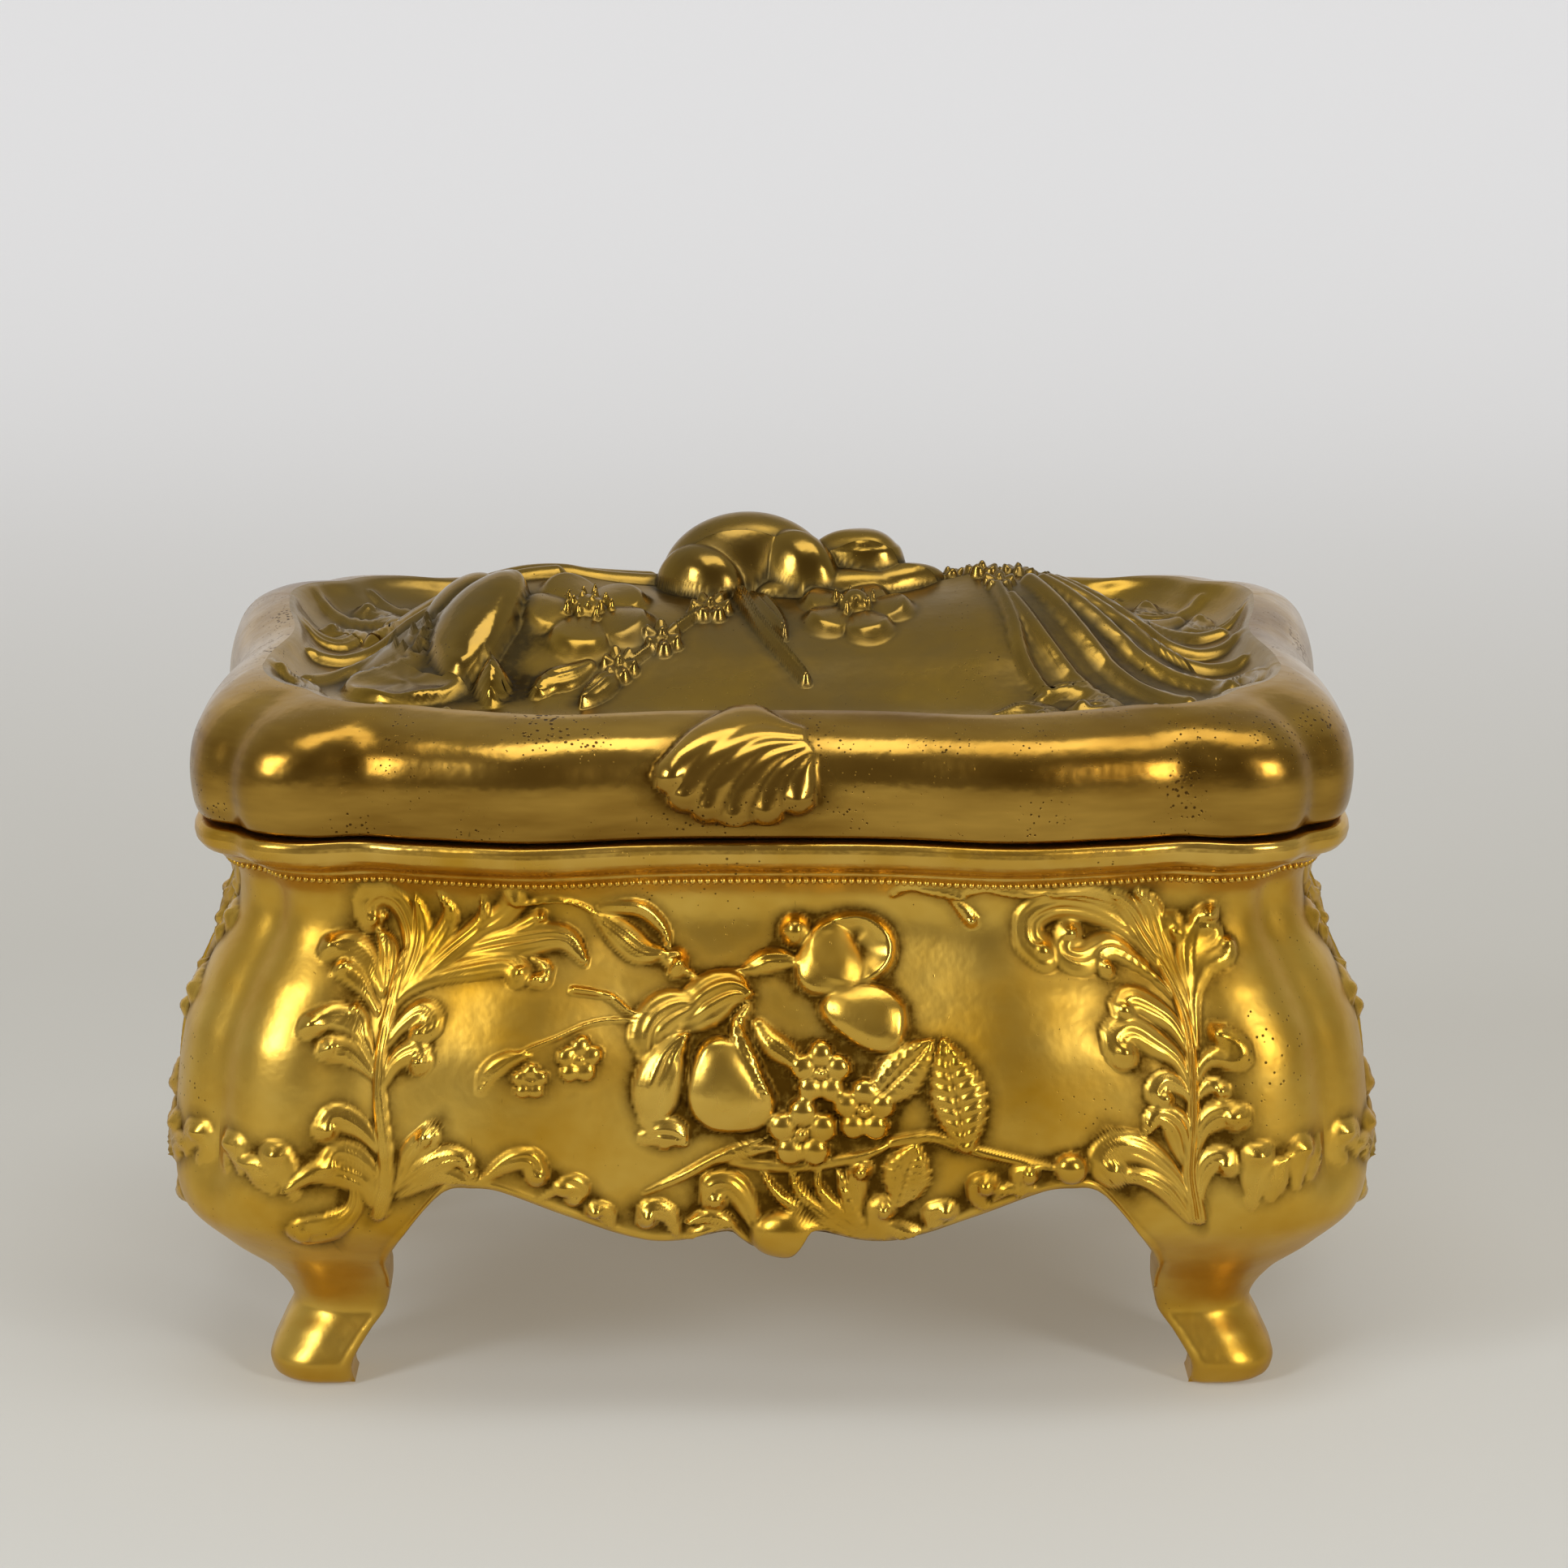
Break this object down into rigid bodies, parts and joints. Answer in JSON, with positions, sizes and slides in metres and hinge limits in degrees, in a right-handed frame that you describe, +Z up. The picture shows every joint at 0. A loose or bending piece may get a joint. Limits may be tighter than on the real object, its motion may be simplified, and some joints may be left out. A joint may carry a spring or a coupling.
{
  "type": "jewel casket",
  "caption": "Footed jewel casket in cast gilt metal, with a serpentine swelling tub, scalloped apron, short cabriole legs, a hinged domed lid and a silk lining.",
  "frame": {"origin": "centre of the overall box at the level of the feet's soles", "axes": "+X along the casket's length to the viewer's right, -Y out of its front, +Z up"},
  "size_m": [0.1616, 0.113, 0.1134],
  "materials": {
    "gilt_tub": "gold wash on cast white metal, satin ground with burnished high spots",
    "gilt_lid": "gold wash darkened by age, with fine dark pitting",
    "sheet_brass": "plain rolled sheet, dulled",
    "hinge_brass": "drawn and rolled, dulled",
    "silk": "old ivory silk with a soft sheen",
    "card": "plain pasteboard"
  },
  "bodies": {
    "tub": {"casket_body": "gilt_tub", "base_plate": "sheet_brass", "hinge_leaf_body": "hinge_brass", "hinge_pin": "hinge_brass", "body_rivets": "hinge_brass", "wall_lining": "silk", "floor_card": "card", "floor_cushion": "silk", "mouth_cord": "silk"},
    "lid": {"lid_casting": "gilt_lid", "hinge_leaf_lid": "hinge_brass", "lid_rivets": "hinge_brass", "lid_card": "card", "lid_pad": "silk", "lid_cord": "silk"}
  },
  "joints": [
    {"name": "lid_hinge", "type": "hinge", "parent": "tub", "child": "lid", "pos_m": [0, 0.0521, 0.07925], "axis": [-1, 0, 0], "range_deg": [0, 100]}
  ]
}
